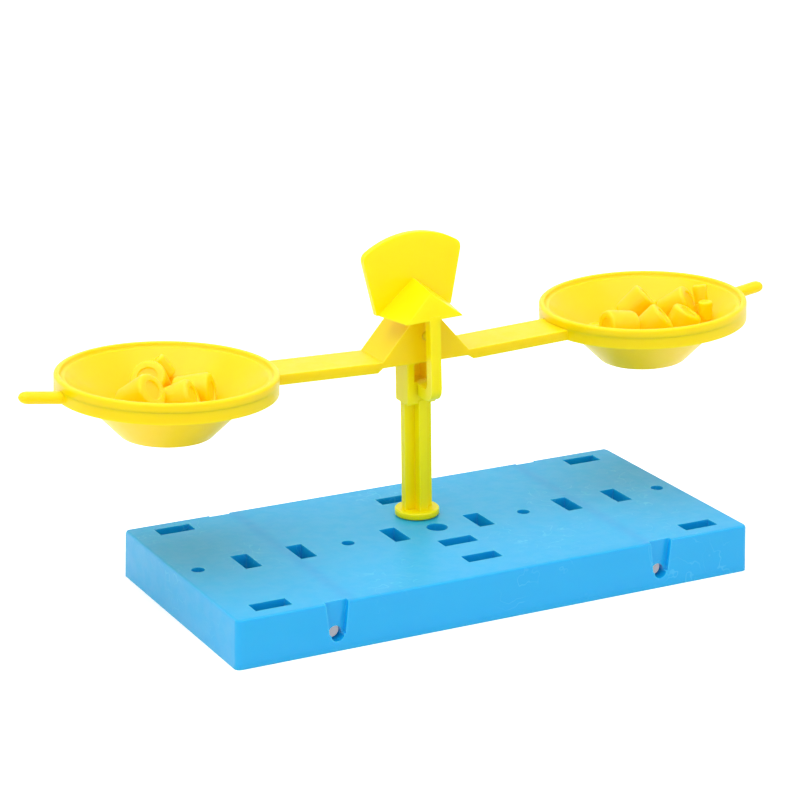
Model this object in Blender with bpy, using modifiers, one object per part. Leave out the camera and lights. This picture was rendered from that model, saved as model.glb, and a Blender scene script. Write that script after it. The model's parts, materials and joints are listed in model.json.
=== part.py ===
"""Toy balance scale of injection-moulded plastic.

A slotted base carries a plug-in post. A pointer bracket is fixed to the post's front and the beam swings on
a pin through the post's head. The beam's two rings hold lift-out pans, and loose cast weights lie in them.

The model stands on z = 0 with the middle of its outline at the origin: +X runs along the beam to its right
arm and +Y runs to the back. All lengths are in metres.
"""
import math

import bmesh
import bpy
from mathutils import Matrix, Vector

MM = 0.001

# General clearances and the overrun that makes every cutter pass clean through
GAP = 0.3 * MM
RUNNING_GAP = 0.1 * MM
OVERRUN = 2.0 * MM
MERGE = 0.01 * MM

# Base: a drafted shell, open below
BASE_LENGTH = 160.8 * MM
BASE_WIDTH = 77.3 * MM
BASE_HEIGHT = 13.9 * MM
BASE_DRAFT = 0.3 * MM
BASE_CORNER_RADIUS = 1.6 * MM
BASE_EDGE_RADIUS = 0.9 * MM
BASE_WALL = 2.0 * MM
BASE_TOP_WALL = 2.0 * MM

# Slots and round holes of the base, each with a sleeve or boss below it; shares are of half the length
SLOT_LENGTH = 10.7 * MM
SLOT_WIDTH = 5.0 * MM
SLEEVE_WALL = 1.2 * MM
SLEEVE_DEPTH = 8.5 * MM
ROW_SLOT_SHARES = (0.169, 0.536, 0.745)
ROW_HOLE_SHARES = (0.354, 0.925)
ROW_HOLE_DIAMETER = 3.8 * MM
CENTRE_HOLE_DIAMETER = 6.2 * MM
CORNER_SLOT_SHARE = 0.840
CORNER_SLOT_Y = 31.9 * MM
EDGE_SLOT_Y = 26.0 * MM
POST_Y = 12.2 * MM

# Axle channels in the long sides, and the ribs beside them
AXLE_SHARE = 0.634
AXLE_HOLE_DIAMETER = 3.9 * MM
AXLE_HEIGHT = 4.7 * MM
NOTCH_TOP_WIDTH = 6.8 * MM
NOTCH_FOOT_WIDTH = 4.8 * MM
NOTCH_DEPTH = 1.6 * MM
RIB_THICKNESS = 1.5 * MM
RIB_DEPTH = 5.0 * MM
RIB_CLEARANCE = 0.5 * MM
END_RIB_Y = 8.6 * MM

# Post: tenon, flange, cross-shaped column, block and the riser that holds the pivot pin
POST_FLANGE_DIAMETER = 12.9 * MM
POST_FLANGE_HEIGHT = 2.0 * MM
TENON_DEPTH = 6.5 * MM
COLUMN_SPAN = 8.6 * MM
COLUMN_RIB = 2.4 * MM
BLOCK_WIDTH = 9.2 * MM
BLOCK_DEPTH = 7.9 * MM
BLOCK_FOOT = 34.6 * MM
BLOCK_HEIGHT = 15.0 * MM
BLOCK_EDGE_RADIUS = 0.6 * MM
WINDOW_WIDTH = 4.8 * MM
WINDOW_HEIGHT = 5.9 * MM
WINDOW_FOOT = 6.8 * MM
WINDOW_DEPTH = 6.0 * MM
RISER_WIDTH = 4.8 * MM
PIVOT_HEIGHT = 55.8 * MM
POST_LEAN_DEGREES = 1.2

# Pivot pin
PIN_DIAMETER = 2.6 * MM
PIN_PROUD = 0.6 * MM
PIN_EDGE_RADIUS = 0.3 * MM

# Beam, measured from the pivot's axis: the hub is hollow, with a web in front and one behind
ARM_WIDTH = 13.8 * MM
ARM_THICKNESS = 3.0 * MM
ARM_DROP = 6.05 * MM
ARM_RISE_DEGREES = 2.0
BEAM_TILT_DEGREES = 0.45
HUB_RISE = 9.6 * MM
HUB_FOOT = 13.7 * MM
HUB_STRIP = 3.0 * MM
HUB_LIFT = 1.3 * MM
HUB_CHAMFER = 1.6 * MM
HUB_WEB = 1.5 * MM
REACH = 76.2 * MM
RING_RADIUS = 30.6 * MM
RING_BAND = 2.6 * MM
RING_HEIGHT = 3.2 * MM
TAB_LENGTH = 12.2 * MM
TAB_WIDTH = 4.6 * MM
TAB_THICKNESS = 3.4 * MM
TAB_PITCH_DEGREES = 6.5

# Pans, measured in each ring's own frame from the middle of its height
PAN_FLANGE_HEIGHT = 2.2 * MM
PAN_LIP_RADIUS = 0.8 * MM
PAN_LIP_WIDTH = 1.5 * MM
PAN_LEDGE_DEPTH = 1.8 * MM
PAN_LEDGE_WIDTH = 3.2 * MM
PAN_DEPTH_SHARE = 0.445
PAN_SLOPE_SHARE = 0.54
PAN_FLOOR_WALL = 1.5 * MM
PAN_SIDE_WALL = 1.9 * MM
PAN_FILLET = 1.4 * MM

# Pointer bracket, measured from the post's axis; it leans a little in its socket, as the post does in its slot
BRACKET_LEAN_DEGREES = 1.0
FAN_THICKNESS = 2.0 * MM
FAN_SETBACK = 0.6 * MM
FAN_FOOT = 6.0 * MM
FAN_FOOT_WIDTH = 23.8 * MM
FAN_SHOULDER_WIDTH = 31.4 * MM
FAN_SHOULDER_HEIGHT = 17.4 * MM
FAN_HEIGHT = 22.5 * MM
FAN_CORNER_RADIUS = 2.6 * MM
FAN_EDGE_RADIUS = 0.45 * MM
GABLE_LENGTH = 12.6 * MM
GABLE_BACK_HEIGHT = 9.4 * MM
GABLE_FRONT_WIDTH = 17.8 * MM
GABLE_FRONT_HEIGHT = 7.2 * MM
GABLE_CROWN_SETBACK = 2.4 * MM
GABLE_WALL = 1.8 * MM
STEM_WIDTH = 3.2 * MM
STEM_THICKNESS = 3.0 * MM
STEM_FOOT = 18.4 * MM
ELBOW_RADIUS = 4.0 * MM
FOOT_THICKNESS = 3.3 * MM
FOOT_FILLET = 1.6 * MM
PEG_WIDTH = 2.0 * MM
PEG_LENGTH = 2.4 * MM

# Weights: tapered castings with a blind recess in the wide end, sized for a pan of this mouth radius
WEIGHT_PAN_RADIUS = 27.4 * MM
BIG_DIAMETER = 10.4 * MM
BIG_LENGTH = 10.8 * MM
BIG_TAPER = 0.8 * MM
BIG_RECESS_DIAMETER = 5.6 * MM
BIG_RECESS_DEPTH = 0.45 * MM
BIG_EDGE_RADIUS = 1.2 * MM
SMALL_DIAMETER = 4.8 * MM
SMALL_LENGTH = 6.4 * MM
SMALL_TAPER = 0.4 * MM
SMALL_RECESS_DIAMETER = 2.4 * MM
SMALL_RECESS_DEPTH = 0.35 * MM
SMALL_EDGE_RADIUS = 0.7 * MM

# Places in a pan, as shares of its mouth radius, with each weight's turn and lean in degrees and how far the
# others hold it above the bowl, as a share of the pan's depth
LEFT_WEIGHT_SHARES = (
    ("big", -0.350, -0.139, -56.0, 34.0, 0.262),
    ("big", 0.015, 0.423, -130.0, 38.0, 0.025),
    ("big", 0.066, -0.088, -35.0, 24.0, 0.131),
    ("big", 0.365, 0.175, -37.0, 10.0, 0.0),
    ("small", 0.241, 0.661, 155.0, 50.0, 0.0),
)
RIGHT_WEIGHT_SHARES = (
    ("big", 0.080, 0.261, -23.0, 42.0, 0.470),
    ("big", -0.487, -0.318, 179.0, 8.0, 0.040),
    ("big", -0.074, -0.298, -29.0, 41.0, 0.370),
    ("big", 0.528, 0.135, -47.0, 33.0, 0.085),
    ("big", 0.339, -0.228, -28.0, 59.0, 0.156),
    ("small", 0.372, 0.434, 180.0, 90.0, 0.008),
    ("small", 0.641, -0.255, 56.0, 90.0, 0.040),
    ("small", 0.705, -0.064, 83.0, 74.0, 0.278),
    ("small", -0.512, 0.134, -31.0, 91.0, 0.024),
)

# Facets of the round forms
FINE_SEGMENTS = 64
ROUND_SEGMENTS = 24
CORNER_SEGMENTS = 4

# Sizes that follow from the ones above
BASE_TOP = BASE_HEIGHT
ROW_SLOT_X = tuple(share * BASE_LENGTH / 2 for share in ROW_SLOT_SHARES)
ROW_HOLE_X = tuple(share * BASE_LENGTH / 2 for share in ROW_HOLE_SHARES)
CORNER_SLOT_X = CORNER_SLOT_SHARE * BASE_LENGTH / 2
AXLE_X = AXLE_SHARE * BASE_LENGTH / 2
BACK_REACH = max(POST_Y + RING_RADIUS, BASE_WIDTH / 2 + BASE_DRAFT)
FRONT_REACH = max(RING_RADIUS - POST_Y, BASE_WIDTH / 2 + BASE_DRAFT)
CENTRE_SHIFT = (BACK_REACH - FRONT_REACH) / 2
RISE = math.radians(ARM_RISE_DEGREES)
HUB_SLOPE = math.atan2(HUB_RISE + ARM_DROP, HUB_FOOT)
ARM_END = REACH - RING_RADIUS + RING_BAND * 0.75
RING_DROP = ARM_DROP + ARM_THICKNESS / 2 - (REACH - HUB_FOOT) * math.tan(RISE)
BLOCK_FRONT = BLOCK_DEPTH / 2
FAN_FACE = FAN_THICKNESS / 2 - FAN_SETBACK
GABLE_FRONT = FAN_FACE + GABLE_LENGTH
PEG_LEVEL = FOOT_THICKNESS / 2 - STEM_FOOT
POST_LEAN = math.radians(POST_LEAN_DEGREES)
BEAM_TILT = math.radians(BEAM_TILT_DEGREES)
TAB_PITCH = math.radians(TAB_PITCH_DEGREES)
TAB_LEVEL = (RING_HEIGHT + GAP - TAB_THICKNESS) / 2 - RING_RADIUS * math.sin(TAB_PITCH)
LEAN_SHIFT = PIVOT_HEIGHT * math.sin(POST_LEAN)
PIN_LENGTH = ARM_WIDTH + 2 * PIN_PROUD
FLANGE_SEAT = RING_HEIGHT / 2 + GAP
PAN_MOUTH_RADIUS = RING_RADIUS - PAN_LEDGE_WIDTH
PAN_FLOOR_RADIUS = PAN_MOUTH_RADIUS * (1 - PAN_SLOPE_SHARE)
PAN_DEPTH = PAN_MOUTH_RADIUS * PAN_DEPTH_SHARE
PAN_FLOOR = -(RING_HEIGHT / 2 + PAN_DEPTH)
WEIGHT_SCALE = PAN_MOUTH_RADIUS / WEIGHT_PAN_RADIUS


def make_collection(name):
    """Return a new collection linked to the scene."""
    collection = bpy.data.collections.new(name)
    bpy.context.scene.collection.children.link(collection)
    return collection


def make_material(name, colour, roughness):
    """Return a Principled material of the given colour and roughness."""
    material = bpy.data.materials.new(name)
    material.use_nodes = True
    shader = material.node_tree.nodes["Principled BSDF"]
    shader.inputs["Base Color"].default_value = (*colour, 1.0)
    shader.inputs["Roughness"].default_value = roughness
    shader.inputs["Metallic"].default_value = 0.0
    material.diffuse_color = (*colour, 1.0)
    return material


class Workshop:
    """Makes objects, keeps the parts and the cutters in their own collections, and joins them."""

    def __init__(self):
        self.parts = make_collection("balance_scale")
        self.tools = make_collection("cutters")

    def empty(self, name, parent=None, location=(0, 0, 0), rotation=(0, 0, 0)):
        """Return an empty that other objects hang from."""
        item = bpy.data.objects.new(name, None)
        self.parts.objects.link(item)
        item.parent = parent
        item.location = location
        item.rotation_euler = rotation
        return item

    def part(self, name, mesh, material, parent, location=(0, 0, 0), rotation=(0, 0, 0)):
        """Return a named sub-part with its own material."""
        item = bpy.data.objects.new(name, mesh)
        self.parts.objects.link(item)
        item.parent = parent
        item.location = location
        item.rotation_euler = rotation
        mesh.materials.append(material)
        return item

    def tool(self, name, mesh, parent, location=(0, 0, 0), rotation=(0, 0, 0)):
        """Return a hidden shape that a Boolean modifier joins to a part or cuts from it."""
        item = bpy.data.objects.new(name, mesh)
        self.tools.objects.link(item)
        item.parent = parent
        item.location = location
        item.rotation_euler = rotation
        item.hide_render = True
        item.display_type = "WIRE"
        return item


def combine(part, tool, operation, shapes_cross=False):
    """Join the tool to the part, or cut it away, with an exact Boolean modifier."""
    modifier = part.modifiers.new(tool.name, "BOOLEAN")
    modifier.operation = operation
    modifier.object = tool
    modifier.solver = "EXACT"
    modifier.use_self = shapes_cross
    return modifier


def round_edges(part, radius, segments=2, angle_degrees=40.0):
    """Round a part's sharp edges with a Bevel modifier."""
    modifier = part.modifiers.new("rounded_edges", "BEVEL")
    modifier.width = radius
    modifier.segments = segments
    modifier.limit_method = "ANGLE"
    modifier.angle_limit = math.radians(angle_degrees)
    modifier.harden_normals = False
    return modifier


def turn(part, segments):
    """Spin a part's profile about its own Z axis with a Screw modifier."""
    modifier = part.modifiers.new("turned", "SCREW")
    modifier.axis = "Z"
    modifier.angle = 2 * math.pi
    modifier.steps = segments
    modifier.render_steps = segments
    modifier.use_merge_vertices = True
    modifier.merge_threshold = MERGE
    modifier.use_smooth_shade = True
    return modifier


def finish_mesh(name, mesh_builder):
    """Write a bmesh into a new mesh and free it."""
    mesh = bpy.data.meshes.new(name)
    mesh_builder.normal_update()
    mesh_builder.to_mesh(mesh)
    mesh_builder.free()
    return mesh


def boxes_mesh(name, boxes, edge_radius=0.0):
    """Return a mesh of separate boxes, each given by its two opposite corners."""
    builder = bmesh.new()
    for low, high in boxes:
        size = Vector(high) - Vector(low)
        middle = (Vector(high) + Vector(low)) / 2
        matrix = Matrix.Translation(middle) @ Matrix.Diagonal((*size, 1))
        bmesh.ops.create_cube(builder, size=1.0, matrix=matrix)
    if edge_radius > 0:
        bmesh.ops.bevel(builder, geom=builder.edges[:], offset=edge_radius, segments=2, affect="EDGES",
                        profile=0.5, clamp_overlap=True)
    return finish_mesh(name, builder)


def cylinders_mesh(name, places, diameter, low, high, segments=ROUND_SEGMENTS, axis="Z"):
    """Return a mesh of upright cylinders at the given places, or of cylinders laid along Y."""
    builder = bmesh.new()
    for place in places:
        matrix = Matrix.Translation(Vector((place[0], place[1], (low + high) / 2)))
        if axis == "Y":
            matrix = Matrix.Translation(Vector((place[0], (low + high) / 2, place[1])))
            matrix = matrix @ Matrix.Rotation(math.pi / 2, 4, "X")
        bmesh.ops.create_cone(builder, cap_ends=True, segments=segments, radius1=diameter / 2,
                              radius2=diameter / 2, depth=high - low, matrix=matrix)
    return finish_mesh(name, builder)


def plate_mesh(name, outline, thickness, turn_matrix):
    """Return a flat outline as a closed plate, centred on its plane and then turned by the matrix."""
    curve = bpy.data.curves.new(name + "_outline", "CURVE")
    curve.dimensions = "2D"
    curve.fill_mode = "BOTH"
    curve.extrude = thickness / 2
    spline = curve.splines.new("POLY")
    spline.points.add(len(outline) - 1)
    for point, (across, along) in zip(spline.points, outline):
        point.co = (across, along, 0, 1)
    spline.use_cyclic_u = True
    holder = bpy.data.objects.new(name + "_outline", curve)
    bpy.context.scene.collection.objects.link(holder)
    bpy.context.view_layer.update()
    evaluated = holder.evaluated_get(bpy.context.evaluated_depsgraph_get())
    mesh = bpy.data.meshes.new_from_object(evaluated)
    builder = bmesh.new()
    builder.from_mesh(mesh)
    bmesh.ops.remove_doubles(builder, verts=builder.verts[:], dist=MERGE)
    bmesh.ops.transform(builder, matrix=turn_matrix, verts=builder.verts[:])
    bmesh.ops.recalc_face_normals(builder, faces=builder.faces[:])
    builder.to_mesh(mesh)
    builder.free()
    bpy.data.objects.remove(holder)
    bpy.data.curves.remove(curve)
    return mesh


def profile_mesh(name, profile, closed):
    """Return a line of profile points in the XZ plane for a Screw modifier."""
    builder = bmesh.new()
    verts = [builder.verts.new((radius, 0, height)) for radius, height in profile]
    for first, second in zip(verts, verts[1:]):
        builder.edges.new((first, second))
    if closed:
        builder.edges.new((verts[-1], verts[0]))
    return finish_mesh(name, builder)


def arc_points(centre, radius, start_degrees, end_degrees, count):
    """Return points along an arc, both ends included."""
    points = []
    for index in range(count + 1):
        angle = math.radians(start_degrees + (end_degrees - start_degrees) * index / count)
        points.append((centre[0] + radius * math.cos(angle), centre[1] + radius * math.sin(angle)))
    return points


def mirrored(points):
    """Return an outline's half with its mirror image, the other way round."""
    return list(points) + [(-across, along) for across, along in reversed(points) if abs(across) > MERGE]


UPRIGHT = Matrix.Rotation(math.pi / 2, 4, "X")
SIDEWAYS = Matrix(((0, 0, 1, 0), (1, 0, 0, 0), (0, 1, 0, 0), (0, 0, 0, 1)))


def drafted_box(length, width, low, high, height, corner_radius, edge_radius):
    """Return a box that widens downwards by the base's draft, with rounded upright and top edges."""
    builder = bmesh.new()
    bmesh.ops.create_cube(builder, size=1.0)
    for vert in builder.verts:
        level = low if vert.co.z < 0 else high
        spread = BASE_DRAFT * (height - level) / height
        vert.co.x = math.copysign(length / 2 + spread, vert.co.x)
        vert.co.y = math.copysign(width / 2 + spread, vert.co.y)
        vert.co.z = level
    upright = [edge for edge in builder.edges if abs(edge.verts[0].co.z - edge.verts[1].co.z) > MERGE]
    bmesh.ops.bevel(builder, geom=upright, offset=corner_radius, segments=CORNER_SEGMENTS, affect="EDGES",
                    profile=0.5)
    if edge_radius > 0:
        crown = [edge for edge in builder.edges if all(abs(v.co.z - high) < MERGE for v in edge.verts)]
        bmesh.ops.bevel(builder, geom=crown, offset=edge_radius, segments=2, affect="EDGES", profile=0.5)
    return builder


def slot_places():
    """Return the centre of every slot in the base, and whether it runs along X."""
    places = []
    for side in (-1, 1):
        places += [(side * across, 0.0, False) for across in ROW_SLOT_X]
        places.append((0.0, side * POST_Y, True))
        places.append((0.0, side * EDGE_SLOT_Y, True))
        places += [(side * CORNER_SLOT_X, end * CORNER_SLOT_Y, True) for end in (-1, 1)]
    return places


def slot_box(place, margin, low, high):
    """Return the corners of a slot's box, grown by a margin on every side."""
    across, depth, along_x = place
    half_x = (SLOT_LENGTH if along_x else SLOT_WIDTH) / 2 + margin
    half_y = (SLOT_WIDTH if along_x else SLOT_LENGTH) / 2 + margin
    return ((across - half_x, depth - half_y, low), (across + half_x, depth + half_y, high))


def make_base(shop, material, parent):
    """Build the slotted base shell with its sleeves, ribs, axle holes and notches."""
    outer = drafted_box(BASE_LENGTH, BASE_WIDTH, 0.0, BASE_HEIGHT, BASE_HEIGHT, BASE_CORNER_RADIUS,
                        BASE_EDGE_RADIUS)
    base = shop.part("base", finish_mesh("base", outer), material, parent)

    inner_corner = max(BASE_CORNER_RADIUS - BASE_WALL, BASE_EDGE_RADIUS / 2)
    inner = drafted_box(BASE_LENGTH - 2 * BASE_WALL, BASE_WIDTH - 2 * BASE_WALL, -OVERRUN,
                        BASE_HEIGHT - BASE_TOP_WALL, BASE_HEIGHT, inner_corner, 0.0)
    combine(base, shop.tool("base_cavity", finish_mesh("base_cavity", inner), parent), "DIFFERENCE")

    join_level = BASE_HEIGHT - BASE_TOP_WALL / 2
    wall_middle = BASE_WIDTH / 2 - BASE_WALL / 2
    pad_half = NOTCH_TOP_WIDTH / 2 + BASE_WALL
    pad_back = BASE_WIDTH / 2 - NOTCH_DEPTH - BASE_WALL
    rib_foot = BASE_HEIGHT - BASE_TOP_WALL - RIB_DEPTH
    axle_rib_x = AXLE_X + AXLE_HOLE_DIAMETER / 2 + RIB_CLEARANCE + RIB_THICKNESS / 2
    end_wall = BASE_LENGTH / 2 - BASE_WALL / 2
    stiffeners = []
    for side in (-1, 1):
        for end in (-1, 1):
            near, far = sorted((end * pad_back, end * wall_middle))
            stiffeners.append(((side * AXLE_X - pad_half, near, BASE_WALL / 4),
                               (side * AXLE_X + pad_half, far, join_level)))
            left, right = sorted((side * axle_rib_x, side * end_wall))
            stiffeners.append(((left, end * END_RIB_Y - RIB_THICKNESS / 2, rib_foot),
                               (right, end * END_RIB_Y + RIB_THICKNESS / 2, join_level)))
    combine(base, shop.tool("base_pads", boxes_mesh("base_pads", stiffeners), parent), "UNION", shapes_cross=True)

    sleeve_foot = BASE_HEIGHT - SLEEVE_DEPTH
    sleeves = [slot_box(place, SLEEVE_WALL, sleeve_foot, join_level) for place in slot_places()]
    for side in (-1, 1):
        for offset in (axle_rib_x - AXLE_X, AXLE_X - axle_rib_x):
            middle = side * AXLE_X + offset
            sleeves.append(((middle - RIB_THICKNESS / 2, -wall_middle, rib_foot),
                            (middle + RIB_THICKNESS / 2, wall_middle, join_level)))
    combine(base, shop.tool("base_sleeves", boxes_mesh("base_sleeves", sleeves), parent), "UNION",
            shapes_cross=True)

    row_holes = [(side * across, 0.0) for side in (-1, 1) for across in ROW_HOLE_X]
    bosses = cylinders_mesh("base_bosses", row_holes, ROW_HOLE_DIAMETER + 2 * SLEEVE_WALL, sleeve_foot,
                            join_level)
    combine(base, shop.tool("base_bosses", bosses, parent), "UNION")
    hub = cylinders_mesh("base_centre_boss", [(0.0, 0.0)], CENTRE_HOLE_DIAMETER + 2 * SLEEVE_WALL,
                         sleeve_foot, join_level)
    combine(base, shop.tool("base_centre_boss", hub, parent), "UNION")

    through = (sleeve_foot - OVERRUN, BASE_HEIGHT + OVERRUN)
    slots = boxes_mesh("base_slots", [slot_box(place, 0.0, *through) for place in slot_places()])
    combine(base, shop.tool("base_slots", slots, parent), "DIFFERENCE")
    holes = cylinders_mesh("base_holes", row_holes, ROW_HOLE_DIAMETER, *through)
    combine(base, shop.tool("base_holes", holes, parent), "DIFFERENCE")
    centre = cylinders_mesh("base_centre_hole", [(0.0, 0.0)], CENTRE_HOLE_DIAMETER, *through)
    combine(base, shop.tool("base_centre_hole", centre, parent), "DIFFERENCE")

    reach = BASE_WIDTH / 2 + BASE_DRAFT + OVERRUN
    axles = cylinders_mesh("base_axle_holes", [(-AXLE_X, AXLE_HEIGHT), (AXLE_X, AXLE_HEIGHT)],
                           AXLE_HOLE_DIAMETER, -reach, reach, axis="Y")
    combine(base, shop.tool("base_axle_holes", axles, parent), "DIFFERENCE")

    widening = (NOTCH_TOP_WIDTH - NOTCH_FOOT_WIDTH) / 2 / (BASE_HEIGHT - AXLE_HEIGHT)
    over_top = BASE_HEIGHT + OVERRUN
    outline = [(-NOTCH_FOOT_WIDTH / 2, AXLE_HEIGHT), (NOTCH_FOOT_WIDTH / 2, AXLE_HEIGHT),
               (NOTCH_TOP_WIDTH / 2 + widening * OVERRUN, over_top),
               (-NOTCH_TOP_WIDTH / 2 - widening * OVERRUN, over_top)]
    notch_floor = BASE_WIDTH / 2 - NOTCH_DEPTH
    notch_thickness = reach - notch_floor
    for side in (-1, 1):
        for end in (-1, 1):
            name = f"base_notch_{'left' if side < 0 else 'right'}_{'front' if end < 0 else 'back'}"
            mesh = plate_mesh(name, outline, notch_thickness, UPRIGHT)
            middle = (notch_floor + notch_thickness / 2) * end
            notch = shop.tool(name, mesh, parent, (side * AXLE_X, middle, 0))
            combine(base, notch, "DIFFERENCE")
    return base


def plus_outline(span, rib):
    """Return the outline of a plus sign."""
    half, arm = span / 2, rib / 2
    corner = [(half, arm), (arm, arm), (arm, half)]
    points = []
    for quarter in range(4):
        angle = quarter * math.pi / 2
        for across, along in corner:
            points.append((across * math.cos(angle) - along * math.sin(angle),
                           across * math.sin(angle) + along * math.cos(angle)))
    return points


def make_post(shop, material, parent):
    """Build the post: tenon, flange, column, block with its window, and the riser at the pivot."""
    flange_low = GAP
    flange_high = GAP + POST_FLANGE_HEIGHT
    mesh = cylinders_mesh("post", [(0.0, 0.0)], POST_FLANGE_DIAMETER, flange_low, flange_high,
                          segments=FINE_SEGMENTS // 2)
    post = shop.part("post", mesh, material, parent)
    round_edges(post, BLOCK_EDGE_RADIUS / 2, segments=1)

    column_low = flange_low + POST_FLANGE_HEIGHT / 2
    column_high = BLOCK_FOOT + BLOCK_EDGE_RADIUS * 2
    column_middle = (column_low + column_high) / 2
    column = plate_mesh("post_column", plus_outline(COLUMN_SPAN, COLUMN_RIB), column_high - column_low,
                        Matrix.Identity(4))
    combine(post, shop.tool("post_column", column, parent, (0, 0, column_middle)), "UNION")

    block_box = ((-BLOCK_WIDTH / 2, -BLOCK_DEPTH / 2, BLOCK_FOOT),
                 (BLOCK_WIDTH / 2, BLOCK_DEPTH / 2, BLOCK_FOOT + BLOCK_HEIGHT))
    block = boxes_mesh("post_block", [block_box], BLOCK_EDGE_RADIUS)
    combine(post, shop.tool("post_block", block, parent), "UNION")

    riser_low = BLOCK_FOOT + BLOCK_HEIGHT / 2
    outline = [(-RISER_WIDTH / 2, riser_low), (RISER_WIDTH / 2, riser_low)]
    outline += arc_points((0.0, PIVOT_HEIGHT), RISER_WIDTH / 2, 0.0, 180.0, CORNER_SEGMENTS * 2)
    riser = plate_mesh("post_riser", outline, BLOCK_DEPTH - 2 * BLOCK_EDGE_RADIUS, UPRIGHT)
    combine(post, shop.tool("post_riser", riser, parent), "UNION")

    tenon_box = ((-SLOT_LENGTH / 2 + GAP, -SLOT_WIDTH / 2 + GAP, -TENON_DEPTH),
                 (SLOT_LENGTH / 2 - GAP, SLOT_WIDTH / 2 - GAP, flange_low + POST_FLANGE_HEIGHT / 2))
    tenon = boxes_mesh("post_tenon", [tenon_box])
    combine(post, shop.tool("post_tenon", tenon, parent), "UNION")

    window_low = BLOCK_FOOT + WINDOW_FOOT
    window_box = ((-WINDOW_WIDTH / 2, -BLOCK_FRONT - OVERRUN, window_low),
                  (WINDOW_WIDTH / 2, -BLOCK_FRONT + WINDOW_DEPTH, window_low + WINDOW_HEIGHT))
    window = boxes_mesh("post_window", [window_box])
    combine(post, shop.tool("post_window", window, parent), "DIFFERENCE")

    peg_level = PIVOT_HEIGHT + PEG_LEVEL
    hole_half = PEG_WIDTH / 2 + GAP
    socket_box = ((-hole_half, -BLOCK_FRONT - OVERRUN, peg_level - hole_half),
                  (hole_half, -BLOCK_FRONT + PEG_LENGTH + GAP, peg_level + hole_half))
    socket = boxes_mesh("post_peg_socket", [socket_box])
    combine(post, shop.tool("post_peg_socket", socket, parent), "DIFFERENCE")

    reach = BLOCK_DEPTH / 2 + OVERRUN
    bore = cylinders_mesh("post_pin_bore", [(0.0, PIVOT_HEIGHT)], PIN_DIAMETER + RUNNING_GAP * 2, -reach,
                          reach, axis="Y")
    combine(post, shop.tool("post_pin_bore", bore, parent), "DIFFERENCE")
    return post


def make_pin(shop, material, parent):
    """Build the pivot pin, whose ends stand proud of the hub's webs."""
    mesh = cylinders_mesh("pivot_pin", [(0.0, 0.0)], PIN_DIAMETER, -PIN_LENGTH / 2, PIN_LENGTH / 2, axis="Y")
    pin = shop.part("pivot_pin", mesh, material, parent)
    round_edges(pin, PIN_EDGE_RADIUS, segments=1)
    return pin


def fan_outline():
    """Return the pointer plate's outline: splayed sides, rounded shoulders and an arched crown."""
    crown_rise = FAN_HEIGHT - FAN_SHOULDER_HEIGHT
    half = FAN_SHOULDER_WIDTH / 2
    crown_radius = (half * half + crown_rise * crown_rise) / (2 * crown_rise)
    crown_centre = FAN_HEIGHT - crown_radius
    side_angle = math.atan2(FAN_SHOULDER_HEIGHT, (FAN_SHOULDER_WIDTH - FAN_FOOT_WIDTH) / 2)
    inner_radius = crown_radius - FAN_CORNER_RADIUS
    normal = (math.sin(side_angle), -math.cos(side_angle))
    side_distance = FAN_FOOT_WIDTH / 2 * normal[0] - FAN_CORNER_RADIUS
    tilt = math.atan2(normal[1], normal[0])
    reach = (side_distance - crown_centre * normal[1]) / inner_radius
    corner_angle = tilt + math.acos(reach)
    corner = (inner_radius * math.cos(corner_angle), crown_centre + inner_radius * math.sin(corner_angle))
    start, end = math.degrees(tilt), math.degrees(corner_angle)
    half_outline = [(FAN_FOOT_WIDTH / 2, 0.0)]
    half_outline += arc_points(corner, FAN_CORNER_RADIUS, start, end, CORNER_SEGMENTS)
    half_outline += arc_points((0.0, crown_centre), crown_radius, end, 90.0, CORNER_SEGMENTS * 2)[1:]
    return mirrored(half_outline)


def gable_mesh(name, foot, back_depth, back_half, back_height, front_depth, front_half, crown_depth, crown_height):
    """Return a solid roof from its upright back triangle to a front one that leans back to its crown.

    Depths run to the front from the post's axis and heights up from the roof's foot.
    """
    builder = bmesh.new()
    back = [builder.verts.new((-back_half, -back_depth, foot)), builder.verts.new((back_half, -back_depth, foot)),
            builder.verts.new((0, -back_depth, foot + back_height))]
    face = builder.faces.new(back)
    grown = bmesh.ops.extrude_face_region(builder, geom=[face])
    front = [item for item in grown["geom"] if isinstance(item, bmesh.types.BMVert)]
    for vert in front:
        if vert.co.z > foot + back_height / 2:
            vert.co = (0.0, -crown_depth, foot + crown_height)
        else:
            vert.co = (math.copysign(front_half, vert.co.x), -front_depth, foot)
    bmesh.ops.recalc_face_normals(builder, faces=builder.faces[:])
    return finish_mesh(name, builder)


def gable_half(depth):
    """Return half the roof's width at its foot, at a depth in front of the post's axis."""
    back_half, front_half = FAN_FOOT_WIDTH / 2 - FAN_EDGE_RADIUS, GABLE_FRONT_WIDTH / 2
    return back_half + (front_half - back_half) * (depth - FAN_FACE) / GABLE_LENGTH


def ridge_height(depth):
    """Return the height of the roof's ridge above its foot, at a depth in front of the post's axis."""
    fall = (GABLE_BACK_HEIGHT - GABLE_FRONT_HEIGHT) / (GABLE_LENGTH - GABLE_CROWN_SETBACK)
    return GABLE_BACK_HEIGHT - fall * (depth - FAN_FACE)


def crown_depth_at(front_depth, drop):
    """Return where a ridge that runs a drop below the roof's own meets a front face that starts at a depth."""
    lean = GABLE_CROWN_SETBACK / GABLE_FRONT_HEIGHT
    fall = (GABLE_BACK_HEIGHT - GABLE_FRONT_HEIGHT) / (GABLE_LENGTH - GABLE_CROWN_SETBACK)
    return (front_depth - lean * (ridge_height(0.0) - drop)) / (1.0 - lean * fall)


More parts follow.
